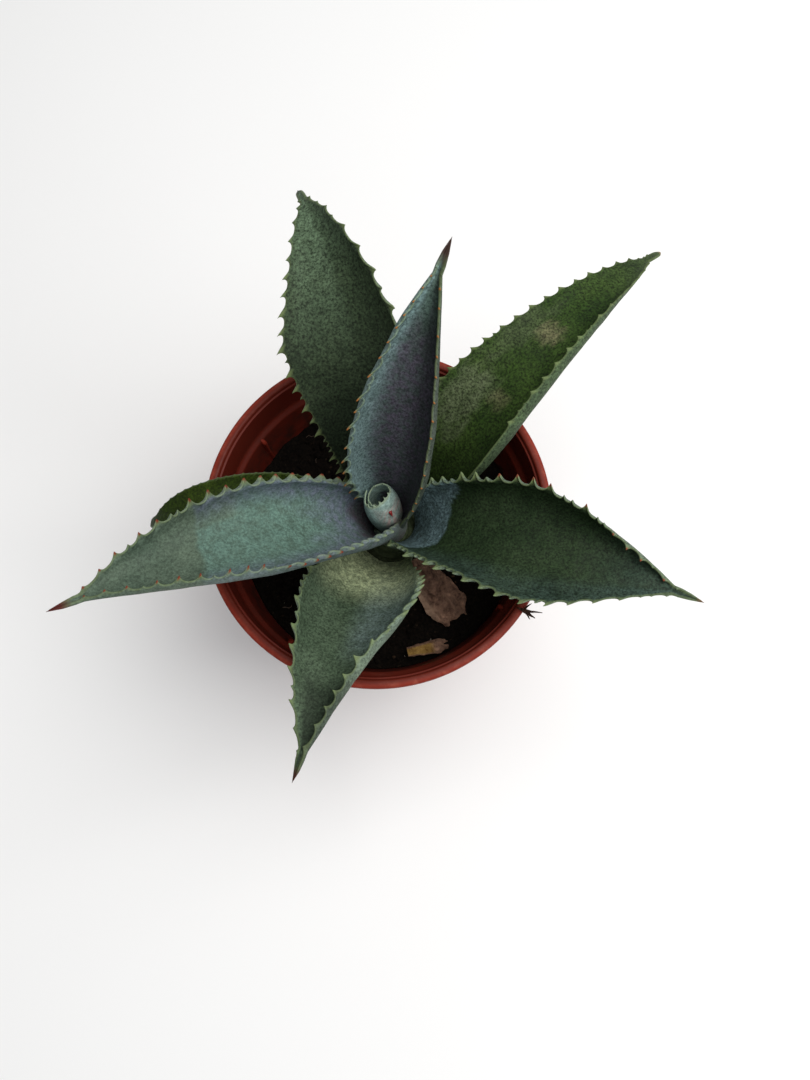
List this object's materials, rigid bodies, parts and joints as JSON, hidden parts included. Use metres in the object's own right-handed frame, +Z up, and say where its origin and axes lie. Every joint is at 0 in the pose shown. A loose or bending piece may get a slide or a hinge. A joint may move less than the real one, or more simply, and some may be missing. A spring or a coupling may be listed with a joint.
{
  "type": "potted mangave",
  "caption": "Young mangave rosette of thick, channelled, toothed leaves round a furled centre leaf, on a short stem in soil in a round plastic nursery pot.",
  "frame": {"origin": "centre of the flat underside of the pot, which stands on the surface", "axes": "+Z up along the pot's axis; +X to the viewer's right and +Y away from the viewer in the usual view from above the front"},
  "size_m": [0.2358, 0.2245, 0.2117],
  "materials": {
    "pot_plastic": "satin moulded terracotta-coloured polypropylene, scuffed at the rim",
    "soil": "damp dark peat compost, matt and crumbly",
    "stem_skin": "pale fleshy stem with dry leaf scars",
    "young_leaf": "waxy blue-green bloom with plum mottling, orange-red teeth",
    "grown_leaf": "dusty dark green with a grey bloom, pale horny margin",
    "dry_leaf": "brown papery wrinkled dead leaf"
  },
  "bodies": {
    "root": {"pot": "pot_plastic", "potting_soil": "soil", "stem": "stem_skin", "leaf_furled": "young_leaf", "leaf_1_back": "young_leaf", "leaf_2_left": "young_leaf", "leaf_3_right": "grown_leaf", "leaf_4_back_left": "grown_leaf", "leaf_5_front": "grown_leaf", "leaf_6_back_right": "grown_leaf", "leaf_7_far_left": "grown_leaf", "dried_leaf": "dry_leaf", "dry_flake_on_soil": "dry_leaf", "dry_scrap_on_rim": "dry_leaf"}
  },
  "joints": []
}
